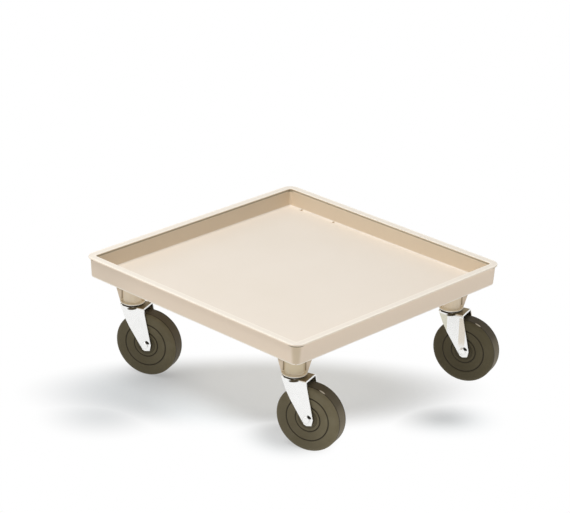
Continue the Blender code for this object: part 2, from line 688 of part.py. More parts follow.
# ---------------------------------------------------------------- assembly
def guide(name, place, turn=0.0, parent=None):
    """An empty whose origin is on a joint's axis."""
    made = new_object(name, None)
    made.location = place
    made.rotation_euler.z = turn
    made.parent = parent
    return made


def placed(name, kind, finish, parent, tip=0.0):
    mesh = kind.copy()
    mesh.materials.clear()
    mesh.materials.append(finish)
    made = new_object(name, mesh)
    made.parent = parent
    made.rotation_euler.x = tip


def casters():
    zinc = material("bright_zinc", (0.80, 0.80, 0.78), 0.25, 1.0)
    dark_steel = material("dark_steel", (0.25, 0.24, 0.22), 0.45, 1.0)
    nylon = material("nylon", (0.75, 0.73, 0.68), 0.5)
    rubber = material("grey_rubber", (0.13, 0.12, 0.08), 0.6)
    head = {
        "stem_sleeve": (stem_sleeve(), zinc),
        "kingpin": (kingpin(), zinc),
        "grip_ring": (grip_ring(), dark_steel),
        "upper_race": (upper_race(), dark_steel),
        "caged_balls": (caged_balls(), dark_steel),
        "fork": (fork(), zinc),
        "swivel_washer": (swivel_washer(), nylon),
        "race_retainer": (race_retainer(), zinc),
    }
    axle = {
        "wheel": (wheel(), rubber),
        "axle_sleeve": (axle_sleeve(), zinc),
        "nut_washer": (nut_washer(), zinc),
        "axle_bolt": (axle_bolt(), zinc),
        "axle_nut": (axle_nut(), zinc),
    }
    for corner, side_x, side_y, heading in CASTERS:
        stem = (TRAY_X + side_x * STEM_HALF, side_y * STEM_HALF, 0.0)
        swivel_axis = guide(f"swivel_axis_{corner}", stem, heading)
        wheel_axis = guide(f"wheel_axis_{corner}", (TRAIL, 0.0, AXLE_Z), parent=swivel_axis)
        for piece, (kind, finish) in head.items():
            placed(f"{piece}_{corner}", kind, finish, swivel_axis)
        for piece, (kind, finish) in axle.items():
            placed(f"{piece}_{corner}", kind, finish, wheel_axis, tip=pi / 2)


deck_tray()
casters()
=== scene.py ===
"""Platform trolley without a handle: a square moulded tray on four swivel stem casters.

Metres, +Z up, with the floor at z = 0 and the tray's sides along X and Y.
"""

from math import atan2, cos, hypot, pi, radians, sin, tan

import bmesh
import bpy
from mathutils import Matrix, Vector
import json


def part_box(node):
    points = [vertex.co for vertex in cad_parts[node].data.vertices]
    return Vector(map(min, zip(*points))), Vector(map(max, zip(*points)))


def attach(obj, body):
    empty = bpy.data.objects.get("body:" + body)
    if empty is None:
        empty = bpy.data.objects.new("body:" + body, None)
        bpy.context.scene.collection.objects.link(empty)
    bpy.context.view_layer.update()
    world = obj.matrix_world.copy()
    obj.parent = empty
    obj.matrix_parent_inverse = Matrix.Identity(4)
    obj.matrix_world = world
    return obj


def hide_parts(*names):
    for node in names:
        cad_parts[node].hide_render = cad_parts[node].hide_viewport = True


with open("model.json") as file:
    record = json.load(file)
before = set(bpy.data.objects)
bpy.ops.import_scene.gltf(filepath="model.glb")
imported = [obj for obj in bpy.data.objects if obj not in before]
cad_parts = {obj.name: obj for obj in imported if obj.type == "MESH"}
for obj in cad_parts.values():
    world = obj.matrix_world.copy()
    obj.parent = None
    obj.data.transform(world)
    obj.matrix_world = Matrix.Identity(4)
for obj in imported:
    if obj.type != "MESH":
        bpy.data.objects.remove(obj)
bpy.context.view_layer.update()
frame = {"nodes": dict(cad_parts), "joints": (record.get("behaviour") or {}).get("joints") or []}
bpy.ops.object.select_all(action="DESELECT")
tray_low, tray_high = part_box("deck_tray")
tray_x = (tray_low.x + tray_high.x) / 2

# ---------------------------------------------------------------- camera
# A long lens four and a half metres away and above the tray, so that its sides stay almost
# parallel and the caster at the nearest corner stands in the middle of the view.
LOOKS_TOWARDS, LOOKS_DOWN, ROLLED = 43.72, 22.64, 1.64  # degrees
bpy.ops.object.camera_add()
camera = bpy.context.object
camera.matrix_world = (
    Matrix.Translation((tray_x + 2.8533, -3.0066, 1.9650))
    @ Matrix.Rotation(radians(LOOKS_TOWARDS), 4, "Z")
    @ Matrix.Rotation(radians(90 - LOOKS_DOWN), 4, "X")
    @ Matrix.Rotation(radians(ROLLED), 4, "Z")
)
camera.data.lens = 151.2
camera.data.sensor_width = 36.0
camera.data.clip_end = 50.0
bpy.context.scene.camera = camera

# ---------------------------------------------------------------- floor and light
# A white sheet lit from below, but less lit where the trolley's shadow lies, and painted grey
# as shadow in patches before and beside it; a wide softbox overhead and a plain white room, which
# also shows in the metal.
def add_node(material, kind, inputs, **settings):
    """Add a shader node; an input is a value or the output that feeds it."""
    made = material.node_tree.nodes.new(kind)
    for key, value in settings.items():
        setattr(made, key, value)
    for key, value in inputs.items():
        if isinstance(value, bpy.types.NodeSocket):
            material.node_tree.links.new(value, made.inputs[key])
        else:
            made.inputs[key].default_value = value
    return made


def new_finish(name, colour, roughness, metallic=0.0):
    """A material with its shader and its object coordinates."""
    made = bpy.data.materials.new(name)
    made.use_nodes = True
    shader = made.node_tree.nodes["Principled BSDF"]
    shader.inputs["Base Color"].default_value = (*colour, 1.0)
    shader.inputs["Roughness"].default_value = roughness
    shader.inputs["Metallic"].default_value = metallic
    where = add_node(made, "ShaderNodeTexCoord", {}).outputs["Object"]
    return made, shader, where


def wire(material, source, target):
    material.node_tree.links.new(source, target)


def arithmetic(material, operation, first, second=0.0):
    return add_node(material, "ShaderNodeMath", {0: first, 1: second},
                    operation=operation).outputs["Value"]


def smooth_step(material, value, low, high):
    """0 below low, 1 above high; the other way round where low is the higher one."""
    return add_node(material, "ShaderNodeMapRange",
                    {"Value": value, "From Min": low, "From Max": high},
                    interpolation_type="SMOOTHSTEP").outputs["Result"]


def blended(material, factor, first, second):
    """Mix two colours; each is an output or three numbers."""
    first, second = (
        colour if isinstance(colour, bpy.types.NodeSocket) else (*colour, 1.0)
        for colour in (first, second))
    return add_node(material, "ShaderNodeMix", {0: factor, 6: first, 7: second},
                    data_type="RGBA").outputs[2]


def split(material, vector):
    """The X, Y and Z outputs of a vector."""
    return add_node(material, "ShaderNodeSeparateXYZ", {"Vector": vector}).outputs


def length(material, vector):
    return add_node(material, "ShaderNodeVectorMath", {0: vector},
                    operation="LENGTH").outputs["Value"]


def diagonal(material, where):
    """X + Y, which grows from the front left corner to the rear right one."""
    parts = split(material, where)
    return arithmetic(material, "ADD", parts["X"], parts["Y"])


def oval(material, where, middle, turn, size, rim, core):
    """1 in the core of an oval spot and 0 past its rim, both as shares of its size."""
    own = add_node(material, "ShaderNodeMapping", {
        "Vector": where, "Location": middle, "Rotation": (0.0, 0.0, radians(turn)),
        "Scale": size}, vector_type="TEXTURE")
    return smooth_step(material, length(material, own.outputs["Vector"]), rim, core)


PAPER_WHITE = (0.88, 0.945, 0.99)
PAPER_SHADOW_GREY = (0.44, 0.47, 0.49)
SHADOW_TURN = 47.7  # degrees
SHADOW_UNLIT = 0.65
# x, y, half length, half width, core and depth: one under the tray, and three smaller ones
# past its front, at its front right corner and past its right side
UNDER_TRAY = (0.005, -0.112, 0.465, 0.178, 0.50, 1.00)
PAST_EDGES = (
    (-0.115, -0.390, 0.135, 0.110, 0.00, 0.70),
    (0.167, -0.201, 0.110, 0.115, 0.20, 0.80),
    (0.322, 0.064, 0.125, 0.095, 0.00, 0.95),
)

bpy.ops.mesh.primitive_plane_add(size=16.0, location=(0.0, 0.0, -0.0003))
floor = bpy.context.object
floor.name = "studio_floor"
paper, shader, where = new_finish("white_paper", PAPER_WHITE, 0.9)
shader.inputs["Specular IOR Level"].default_value = 0.1


def shadow(x, y, long, wide, core, depth):
    spot = oval(paper, where, (x, y, 0.0), SHADOW_TURN, (long, wide, 1.0), 1.0, core)
    return arithmetic(paper, "MULTIPLY", spot, depth)


dim = shadow(*UNDER_TRAY)
# Painted shadow: the paper is greyed towards the front left and in the three smaller patches.
grey = smooth_step(paper, diagonal(paper, where), -0.20, -0.42)
for patch in PAST_EDGES:
    small = shadow(*patch)
    dim = arithmetic(paper, "MAXIMUM", dim, small)
    grey = arithmetic(paper, "MAXIMUM", grey, small)
wire(paper, blended(paper, grey, PAPER_WHITE, PAPER_SHADOW_GREY), shader.inputs["Base Color"])
ray = add_node(paper, "ShaderNodeLightPath", {}).outputs
lit = arithmetic(paper, "SUBTRACT", 1.0, arithmetic(paper, "MULTIPLY", dim, SHADOW_UNLIT))
lit = arithmetic(paper, "MAXIMUM", ray["Is Glossy Ray"], lit)
glow = add_node(paper, "ShaderNodeEmission", {"Strength": 1.0})
mix = add_node(paper, "ShaderNodeMixShader",
               {"Fac": lit, 1: shader.outputs[0], 2: glow.outputs[0]})
wire(paper, mix.outputs[0], paper.node_tree.nodes["Material Output"].inputs["Surface"])
floor.data.materials.append(paper)

bpy.ops.object.light_add(type="AREA", location=(tray_x - 0.30, -0.90, 3.3))
softbox = bpy.context.object
to_tray = Vector((tray_x, 0.0, 0.2)) - softbox.location
softbox.rotation_euler = to_tray.to_track_quat("-Z", "Y").to_euler()
softbox.data.shape = "SQUARE"
softbox.data.size = 1.6
softbox.data.energy = 83.0

room = bpy.data.worlds.new("white_room")
room.use_nodes = True
bpy.context.scene.world = room
ambient = room.node_tree.nodes["Background"]
ambient.inputs["Color"].default_value = (1.0, 1.0, 1.0, 1.0)
ambient.inputs["Strength"].default_value = 0.27
white = add_node(room, "ShaderNodeBackground", {"Color": (1.0, 1.0, 1.0, 1.0), "Strength": 1.0})
ray = add_node(room, "ShaderNodeLightPath", {}).outputs
seen = arithmetic(room, "MAXIMUM", ray["Is Camera Ray"], ray["Is Glossy Ray"])
seen = arithmetic(room, "MAXIMUM", seen, ray["Is Transmission Ray"])
mix = add_node(room, "ShaderNodeMixShader",
               {"Fac": seen, 1: ambient.outputs[0], 2: white.outputs[0]})
wire(room, mix.outputs[0], room.node_tree.nodes["World Output"].inputs["Surface"])
bpy.context.scene.view_settings.view_transform = "Standard"

# ---------------------------------------------------------------- tray
# One injection moulding in warm grey polymer: a flat floor inside a double wall that is
# open below, closed by a flat rim with a small lip outside and a shadow step inside.
TRAY_HALF = (tray_high.x - tray_low.x) / 2
TRAY_TOP = tray_high.z
WALL_FOOT = TRAY_TOP - 0.0415
FLOOR_TOP = WALL_FOOT + 0.0072
FLOOR_UNDER = WALL_FOOT + 0.0032
CHANNEL_TOP = TRAY_TOP - 0.0050
LIP_UNDER = TRAY_TOP - 0.0029
WALL = 0.0036
INNER_LEAN = tan(radians(7.0))
OUTER_LEAN = tan(radians(5.2))
RIM_WIDTH = 0.0155
LIP_OVERHANG = 0.0038
INNER_HALF = TRAY_HALF - RIM_WIDTH
STEP_DOWN = 0.0026
STEP_BACK = 0.0011
STEP_FOOT = 2 * STEP_DOWN
FLOOR_HALF = INNER_HALF - (TRAY_TOP - FLOOR_TOP) * INNER_LEAN
OUTER_TOP_HALF = TRAY_HALF - LIP_OVERHANG
OUTER_FOOT_HALF = OUTER_TOP_HALF - (LIP_UNDER - WALL_FOOT) * OUTER_LEAN
GAP_OUTER_FOOT = OUTER_FOOT_HALF - WALL
GAP_OUTER_TOP = GAP_OUTER_FOOT + (CHANNEL_TOP - WALL_FOOT) * OUTER_LEAN
GAP_INNER_TOP = INNER_HALF + WALL - (TRAY_TOP - CHANNEL_TOP) * INNER_LEAN
GAP_INNER_FOOT = GAP_INNER_TOP - (CHANNEL_TOP - WALL_FOOT) * INNER_LEAN
SKIRT_HALF = GAP_INNER_FOOT - WALL
LIP_CORNER = 0.022
FOOT_CORNER = 0.012
POCKET_CORNER = 0.0042
CORNER_SEGMENTS = 10

# half width, height, corner radius, edge rounding, segments of the rounding
TRAY_SECTION = (
    (SKIRT_HALF, FLOOR_UNDER, POCKET_CORNER, 0.0, 0),
    (SKIRT_HALF, WALL_FOOT, POCKET_CORNER, 0.0006, 2),
    (GAP_INNER_FOOT, WALL_FOOT, POCKET_CORNER + WALL, 0.0006, 2),
    (GAP_INNER_TOP, CHANNEL_TOP, POCKET_CORNER + WALL, 0.0, 0),
    (GAP_OUTER_TOP, CHANNEL_TOP, FOOT_CORNER, 0.0, 0),
    (GAP_OUTER_FOOT, WALL_FOOT, FOOT_CORNER - WALL, 0.0006, 2),
    (OUTER_FOOT_HALF, WALL_FOOT, FOOT_CORNER, 0.0012, 3),
    (OUTER_TOP_HALF, LIP_UNDER, LIP_CORNER - LIP_OVERHANG, 0.0008, 2),
    (TRAY_HALF, LIP_UNDER, LIP_CORNER, 0.0008, 3),
    (TRAY_HALF, TRAY_TOP, LIP_CORNER, 0.0016, 4),
    (INNER_HALF, TRAY_TOP, POCKET_CORNER, 0.0013, 4),
    (INNER_HALF, TRAY_TOP - STEP_DOWN, POCKET_CORNER, 0.0003, 2),
    (INNER_HALF + STEP_BACK, TRAY_TOP - STEP_DOWN, POCKET_CORNER + STEP_BACK, 0.0003, 1),
    (INNER_HALF - STEP_FOOT * INNER_LEAN, TRAY_TOP - STEP_FOOT, POCKET_CORNER, 0.0006, 2),
    (FLOOR_HALF, FLOOR_TOP, POCKET_CORNER, 0.003, 5),
)


def pick(kind, wanted):
    """In edit mode, select only the verts, edges or faces that are wanted."""
    bpy.ops.mesh.select_mode(type={"verts": "VERT", "edges": "EDGE", "faces": "FACE"}[kind])
    bpy.ops.mesh.select_all(action="DESELECT")
    mesh = bpy.context.object.data
    editing = bmesh.from_edit_mesh(mesh)
    for element in getattr(editing, kind):
        if wanted(element):
            element.select_set(True)
    editing.select_flush_mode()
    bmesh.update_edit_mesh(mesh)


TOUCH = 0.00002


def on_ring(point, half, z, corner):
    """Whether a point lies on the square of that half width and corner radius."""
    x, y, straight = abs(point.x - tray_x), abs(point.y), half - corner
    if x > straight and y > straight:
        reach = hypot(x - straight, y - straight) - corner
    else:
        reach = max(x, y) - half
    return abs(reach) < TOUCH and abs(point.z - z) < TOUCH


def finish_edit():
    bpy.ops.mesh.select_all(action="SELECT")
    bpy.ops.mesh.remove_doubles(threshold=0.000002)
    bpy.ops.mesh.normals_make_consistent(inside=False)
    bpy.ops.object.mode_set(mode="OBJECT")


# The rings are bridged one below the other, like a tower, and then set at their heights.
SPREAD = 0.05
for index, (half, z, corner, *_) in enumerate(TRAY_SECTION):
    bpy.ops.mesh.primitive_plane_add(size=2 * half, location=(tray_x, 0.0, -SPREAD * (index + 1)))
    if index == 0:
        tray = bpy.context.object
        tray.name = "moulded_tray"
        bpy.ops.object.transform_apply(location=True)
        bpy.ops.object.mode_set(mode="EDIT")
    bpy.ops.mesh.bevel(offset=corner, segments=CORNER_SEGMENTS, affect="VERTICES")
    if 0 < index < len(TRAY_SECTION) - 1:
        bpy.ops.mesh.delete(type="ONLY_FACE")
for index in range(len(TRAY_SECTION) - 1):
    levels = (-SPREAD * (index + 1), -SPREAD * (index + 2))
    pick("edges", lambda edge: any(
        all(abs(vert.co.z - level) < 0.001 for vert in edge.verts) for level in levels))
    bpy.ops.mesh.bridge_edge_loops()
for index, (half, z, *_) in enumerate(TRAY_SECTION):
    level = -SPREAD * (index + 1)
    pick("verts", lambda vert: abs(vert.co.z - level) < 0.001)
    bpy.ops.transform.translate(value=(0.0, 0.0, z - level))
bpy.ops.mesh.select_all(action="SELECT")
bpy.ops.mesh.normals_make_consistent(inside=False)
for half, z, corner, rounding, segments in TRAY_SECTION:
    if rounding:
        pick("edges", lambda edge: all(on_ring(vert.co, half, z, corner) for vert in edge.verts))
        bpy.ops.mesh.bevel(offset=rounding, segments=segments, affect="EDGES")
finish_edit()


def select_only(piece):
    bpy.ops.object.select_all(action="DESELECT")
    piece.select_set(True)
    bpy.context.view_layer.objects.active = piece


def apply_modifier(piece, modifier):
    select_only(piece)
    bpy.ops.object.modifier_apply(modifier=modifier.name)


def combine(piece, tool, operation):
    """Join, cut or trim a piece with a tool, which is then thrown away."""
    joint = piece.modifiers.new("joint", "BOOLEAN")
    joint.operation = operation
    joint.solver = "EXACT"
    joint.object = tool
    apply_modifier(piece, joint)
    bpy.data.objects.remove(tool, do_unlink=True)


def smooth(piece, angle=radians(40)):
    """Shade round faces smooth, with flat faces left flat."""
    select_only(piece)
    bpy.ops.object.shade_smooth_by_angle(angle=angle)
    even = piece.modifiers.new("even_shading", "WEIGHTED_NORMAL")
    even.keep_sharp = True
    apply_modifier(piece, even)


def block(low, high):
    """A plain block between two corners, to be shaped or used as a tool."""
    centre = [(a + b) / 2 for a, b in zip(low, high)]
    size = [b - a for a, b in zip(low, high)]
    bpy.ops.mesh.primitive_cube_add(size=1.0, location=centre, scale=size)
    bpy.ops.object.transform_apply(location=True, scale=True)
    return bpy.context.object


def first_point(name, location):
    """A new piece of a single point, in edit mode and ready to be extruded."""
    bpy.ops.mesh.primitive_plane_add(size=0.001, location=location)
    piece = bpy.context.object
    piece.name = name
    bpy.ops.object.transform_apply(location=True)
    bpy.ops.object.mode_set(mode="EDIT")
    bpy.ops.mesh.select_mode(type="VERT")
    bpy.ops.mesh.select_all(action="SELECT")
    bpy.ops.mesh.merge(type="CENTER")
    return piece


def turned(name, outline, steps=64, closed=False):
    """Spin an outline of (radius, height) points about the Z axis.

    It starts and ends on the axis, or it is closed into a ring."""
    radius, height = outline[0]
    piece = first_point(name, (radius, 0.0, height))
    for (radius, height), (wider, higher) in zip(outline, outline[1:]):
        bpy.ops.mesh.extrude_region_move(
            TRANSFORM_OT_translate={"value": (wider - radius, 0.0, higher - height)})
    if closed:
        ends = (outline[0], outline[-1])
        pick("verts", lambda vert: any(
            hypot(vert.co.x - radius, vert.co.z - height) < 0.000005 for radius, height in ends))
        bpy.ops.mesh.edge_face_add()
    bpy.ops.mesh.select_all(action="SELECT")
    bpy.ops.mesh.spin(steps=steps, angle=2 * pi, center=(0.0, 0.0, 0.0), axis=(0.0, 0.0, 1.0))
    finish_edit()
    return piece


def quarter(steps):
    """The angles of a quarter turn, from nothing to upright."""
    return [step / steps * pi / 2 for step in range(steps + 1)]


def place(piece, matrix):
    """Move a finished mesh to its place and leave its object at the origin."""
    select_only(piece)
    piece.matrix_world = matrix @ piece.matrix_world
    bpy.ops.object.transform_apply(location=True, rotation=True, scale=True)
    return piece


def copied(piece, name=None):
    select_only(piece)
    bpy.ops.object.duplicate(linked=False)
    copy = bpy.context.object
    copy.name = name or copy.name
    return copy


# Four leg sockets with a flange at the foot, each with a plate of gussets across it, and
# three ribs each way under the floor, carried on between the walls.
CORNERS = ("front_left", "front_right", "rear_right", "rear_left")
joints = {joint["name"]: Vector(joint["pos_m"]) for joint in frame["joints"]}
at_stem = {corner: Matrix.Translation((*joints[f"swivel_{corner}"].xy, 0.0))
           for corner in CORNERS}
STEM_HALF = abs(joints["swivel_front_left"].y)
CLEARANCE = 0.0003
SOCKET_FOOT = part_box("upper_race_front_left")[1].z + CLEARANCE
SOCKET_RADIUS = 0.018
FLANGE_RADIUS = 0.0235
FLANGE_HEIGHT = 0.0022
FLANGE_EDGE = 0.0007
COVE = 0.0016
GUSSET_REACH = 0.0365
GUSSET_HALF = 0.002
RIB_PLACES = (-STEM_HALF, 0.0, STEM_HALF)
RIB_DEPTH = 0.010
RIB_HALF = 0.002
TIE_FOOT = WALL_FOOT + 0.0005
TIE_TOP = WALL_FOOT + 0.0105
INTO_FLOOR = FLOOR_UNDER + 0.002
sleeve_low, sleeve_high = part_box("stem_sleeve_front_left")
BORE_RADIUS = (sleeve_high.y - sleeve_low.y) / 2 + CLEARANCE
BORE_TOP = sleeve_high.z + CLEARANCE

cove = [(SOCKET_RADIUS + COVE * (1 - sin(turn)),
         SOCKET_FOOT + FLANGE_HEIGHT + COVE * (1 - cos(turn))) for turn in quarter(4)]
socket = turned("socket", [
    (0.0, SOCKET_FOOT),
    (FLANGE_RADIUS - FLANGE_EDGE, SOCKET_FOOT),
    (FLANGE_RADIUS, SOCKET_FOOT + FLANGE_EDGE),
    (FLANGE_RADIUS, SOCKET_FOOT + FLANGE_HEIGHT - FLANGE_EDGE),
    (FLANGE_RADIUS - FLANGE_EDGE, SOCKET_FOOT + FLANGE_HEIGHT),
    *cove,
    (SOCKET_RADIUS + 0.0004, INTO_FLOOR),
    (0.0, INTO_FLOOR),
])
gusset = block((-GUSSET_REACH, -GUSSET_HALF, SOCKET_FOOT + FLANGE_HEIGHT / 2),
               (GUSSET_REACH, GUSSET_HALF, WALL_FOOT))
bpy.ops.object.mode_set(mode="EDIT")
pick("faces", lambda face: face.normal.z > 0.9)
bpy.ops.mesh.extrude_region_move(TRANSFORM_OT_translate={"value": (0, 0, INTO_FLOOR - WALL_FOOT)})
pick("verts", lambda vert: vert.co.z < SOCKET_FOOT + FLANGE_HEIGHT)
bpy.ops.transform.resize(value=((FLANGE_RADIUS - CLEARANCE) / GUSSET_REACH, 1.0, 1.0),
                         center_override=(0.0, 0.0, 0.0))
finish_edit()
bore = turned("bore", [
    (0.0, SOCKET_FOOT - 0.002), (BORE_RADIUS, SOCKET_FOOT - 0.002),
    (BORE_RADIUS, BORE_TOP), (0.0, BORE_TOP),
])
sides = [Matrix.Translation((tray_x, 0, 0)) @ Matrix.Rotation(turn * pi / 2, 4, "Z")
         for turn in range(4)]
for side in sides:
    for x in RIB_PLACES:
        tie = block((GAP_INNER_FOOT - WALL / 2, x - RIB_HALF, TIE_FOOT),
                    (GAP_OUTER_FOOT + WALL / 2, x + RIB_HALF, TIE_TOP))
        combine(tray, place(tie, side), "UNION")
for corner in CORNERS:
    askew = at_stem[corner] @ Matrix.Rotation(radians(45), 4, "Z")
    combine(tray, place(copied(socket), at_stem[corner]), "UNION")
    combine(tray, place(copied(gusset), askew), "UNION")
for x in RIB_PLACES:
    for side in sides[:2]:
        rib = block((x - RIB_HALF, -STEM_HALF, FLOOR_UNDER - RIB_DEPTH),
                    (x + RIB_HALF, STEM_HALF, INTO_FLOOR))
        combine(tray, place(rib, side), "UNION")
for corner in CORNERS:
    combine(tray, place(copied(bore), at_stem[corner]), "DIFFERENCE")
for tool in (socket, gusset, bore):
    bpy.data.objects.remove(tool, do_unlink=True)

# Two small drain holes through the floor, close to the foot of the wall on the +Y side.
DRAIN_RADIUS = 0.003
DRAIN_PLACES = (0.035, 0.123)
for x in DRAIN_PLACES:
    bpy.ops.mesh.primitive_cylinder_add(
        vertices=32, radius=DRAIN_RADIUS, depth=0.04,
        location=(tray_x - FLOOR_HALF + x, FLOOR_HALF - DRAIN_RADIUS, FLOOR_UNDER))
    combine(tray, bpy.context.object, "DIFFERENCE")
smooth(tray)


def wear(piece, finish):
    piece.data.materials.clear()
    piece.data.materials.append(finish)


def noise(material, where, scale, detail):
    return add_node(material, "ShaderNodeTexNoise",
                    {"Vector": where, "Scale": scale, "Detail": detail}).outputs["Fac"]


def shades(material, factor, *stops):
    """A colour ramp from (position, colour) stops."""
    ramp = add_node(material, "ShaderNodeValToRGB", {"Fac": factor})
    while len(ramp.color_ramp.elements) < len(stops):
        ramp.color_ramp.elements.new(0.5)
    for element, (position, colour) in zip(ramp.color_ramp.elements, stops):
        element.position = position
        element.color = (*colour, 1.0)
    return ramp.outputs["Color"]


def grained(material, shader, heights, strength, distance):
    """Raise and sink the surface a little by the given heights."""
    bump = add_node(material, "ShaderNodeBump",
                    {"Height": heights, "Strength": strength, "Distance": distance})
    wire(material, bump.outputs["Normal"], shader.inputs["Normal"])


def stained(material, tone, amount, colour, *masks):
    """Lay a colour over a tone, as far as the amount and all the masks let it."""
    for mask in masks:
        amount = arithmetic(material, "MULTIPLY", mask, amount)
    return blended(material, amount, tone, colour)


def band(material, value, low, high, edge):
    """1 between two values, fading out over an edge on both sides."""
    return arithmetic(material, "MULTIPLY", smooth_step(material, value, low - edge, low),
                      smooth_step(material, value, high + edge, high))


def facing_up(material):
    """1 on a level top, 0 on an upright wall and -1 on a level underside."""
    normal = add_node(material, "ShaderNodeNewGeometry", {}).outputs["Normal"]
    return split(material, normal)["Z"]


def off_middle(material, where):
    """How far a point is from the tray's middle along X and along Y."""
    parts = split(material, where)
    return {axis: arithmetic(material, "ABSOLUTE",
                             arithmetic(material, "SUBTRACT", parts[axis], middle))
            for axis, middle in (("X", tray_x), ("Y", 0.0))}


def from_nearest_stem(material, where):
    """How far a point is from the nearest swivel axis."""
    off = off_middle(material, where)
    aside = add_node(material, "ShaderNodeCombineXYZ", {
        axis: arithmetic(material, "SUBTRACT", off[axis], STEM_HALF) for axis in "XY"})
    return length(material, aside.outputs["Vector"])


# from and to on the diagonal, for marks that only the pieces at this corner have
REAR_RIGHT = (0.15, 0.25)

polymer, shader, where = new_finish("warm_grey_polymer", (0.84, 0.77, 0.665), 0.42)
tone = shades(polymer, noise(polymer, where, 5.0, 3.0),
              (0.3, (0.81, 0.728, 0.625)), (0.7, (0.832, 0.752, 0.655)))
parts = split(polymer, where)
height = parts["Z"]
off = off_middle(polymer, where)
reach = arithmetic(polymer, "MAXIMUM", off["X"], off["Y"])
upright = smooth_step(polymer, arithmetic(polymer, "ABSOLUTE", facing_up(polymer)), 0.7, 0.3)
inside = smooth_step(polymer, reach, INNER_HALF + 0.003, INNER_HALF + 0.002)
# The drafted walls are painted lighter and warmer outside, as painted light, and darker inside,
# as painted shade; the left end of the front wall is darker.
walls = blended(polymer, inside, (0.93, 0.772, 0.605), (0.76, 0.625, 0.462))
tone = blended(polymer, upright, tone, walls)
tone = stained(polymer, tone, 1.0, (0.835, 0.694, 0.543), upright,
               smooth_step(polymer, parts["X"], -0.12, -0.24),
               smooth_step(polymer, parts["Y"], -0.265, -0.270))
# The rim is painted lighter as a sheen, with painted highlights on its rounded edges, and painted
# shade darkens the step.
RIM_HIGHLIGHT = (0.96, 0.885, 0.77)
top = smooth_step(polymer, height, TRAY_TOP - 0.0012, TRAY_TOP - 0.0004)
lip = arithmetic(polymer, "MULTIPLY",
                 smooth_step(polymer, height, LIP_UNDER - 0.0001, LIP_UNDER + 0.0003),
                 smooth_step(polymer, reach, TRAY_HALF - 0.0050, TRAY_HALF - 0.0035))
inner_edge = smooth_step(polymer, reach, INNER_HALF + 0.0035, INNER_HALF + 0.0020)
step_shade = band(polymer, height, TRAY_TOP - 0.0046, TRAY_TOP - 0.0027, 0.0006)
tone = stained(polymer, tone, 1.0, (0.865, 0.79, 0.688), top)
tone = stained(polymer, tone, 1.0, RIM_HIGHLIGHT, lip)
tone = stained(polymer, tone, 1.0, (0.97, 0.83, 0.67), lip, upright)
tone = stained(polymer, tone, 0.7, RIM_HIGHLIGHT, top, inner_edge)
tone = stained(polymer, tone, 0.8, (0.38, 0.31, 0.19), inside, step_shade)


# Painted shade darkens the rounded upright corners of the outer wall, and a painted shadow lies
# close under the lip there.
def at_corner(far, near):
    """1 at the upright corners, measured in from the half width of the outer wall's foot."""
    return arithmetic(polymer, "MULTIPLY", *(
        smooth_step(polymer, off[axis], OUTER_FOOT_HALF - far, OUTER_FOOT_HALF - near)
        for axis in "XY"))


under_lip = smooth_step(polymer, height, LIP_UNDER, LIP_UNDER - 0.001)
lip_shadow = band(polymer, height, LIP_UNDER - 0.0034, LIP_UNDER - 0.0002, 0.0005)
tone = stained(polymer, tone, 0.85, (0.72, 0.585, 0.40),
               at_corner(0.0125, 0.0055), upright, under_lip)
tone = stained(polymer, tone, 0.8, (0.24, 0.19, 0.11), at_corner(0.020, 0.010), lip_shadow)
# A highlight is painted along the rounded foot of the outer wall.
outer = smooth_step(polymer, reach, OUTER_FOOT_HALF - 0.0035, OUTER_FOOT_HALF - 0.0020)
foot_highlight = band(polymer, height, WALL_FOOT - 0.001, WALL_FOOT + 0.0020, 0.0009)
tone = stained(polymer, tone, 1.0, (1.0, 0.91, 0.78), outer, foot_highlight)
# Below the walls the sockets are a little greener, and paler at the front left and rear
# right. Painted shade darkens the gussets where they meet them and high up under the walls, and
# the flanges are painted light as a highlight.
from_stem = from_nearest_stem(polymer, where)


def above_foot(low, high):
    return smooth_step(polymer, height, SOCKET_FOOT + low, SOCKET_FOOT + high)


def off_socket(low, high):
    return smooth_step(polymer, from_stem, SOCKET_RADIUS + low, SOCKET_RADIUS + high)


hanging = smooth_step(polymer, height, WALL_FOOT - 0.0002, WALL_FOOT - 0.0008)
sideways = arithmetic(polymer, "ABSOLUTE", diagonal(polymer, where))
root_shade = band(polymer, from_stem, SOCKET_RADIUS + 0.0009, SOCKET_RADIUS + 0.0026, 0.0007)
tone = stained(polymer, tone, 1.0, (0.775, 0.658, 0.455), hanging)
tone = stained(polymer, tone, 0.8, (0.92, 0.785, 0.60), hanging,
               smooth_step(polymer, sideways, *REAR_RIGHT))
tone = stained(polymer, tone, 1.0, (0.87, 0.74, 0.58), hanging,
               above_foot(0.0035, 0.0050), off_socket(0.0012, 0.0028))
# Painted shade where the gussets meet the sockets, and high on the gussets under the walls.
tone = stained(polymer, tone, 0.8, (0.26, 0.19, 0.10), hanging, root_shade, above_foot(0.0045, 0.0065))
tone = stained(polymer, tone, 0.65, (0.30, 0.23, 0.13), hanging,
               above_foot(0.019, 0.031), off_socket(0.0006, 0.0012))
# Painted light on the flanges and the coves above them, with the flanges' edges brightest as a
# highlight.
tone = stained(polymer, tone, 1.0, (0.90, 0.79, 0.60), above_foot(0.0065, 0.0040))
tone = stained(polymer, tone, 1.0, (1.0, 0.95, 0.84), above_foot(0.0024, 0.0018))
wire(polymer, tone, shader.inputs["Base Color"])
grained(polymer, shader, noise(polymer, where, 1400.0, 2.0), 0.25, 0.0002)
wear(tray, polymer)
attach(tray, "tray")
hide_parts("deck_tray")

# ---------------------------------------------------------------- stem and head bearing
# In each socket a plated steel sleeve takes the kingpin, held by an open grip ring. A plated
# race lies under the socket, and hardened balls run between it and the fork's dish.
def heights(kind):
    low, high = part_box(f"{kind}_front_left")
    return low.z, high.z


def own_place(material, name):
    """Where a point lies on its own piece, as keep_place stores it."""
    return add_node(material, "ShaderNodeAttribute", {}, attribute_name=name).outputs["Vector"]


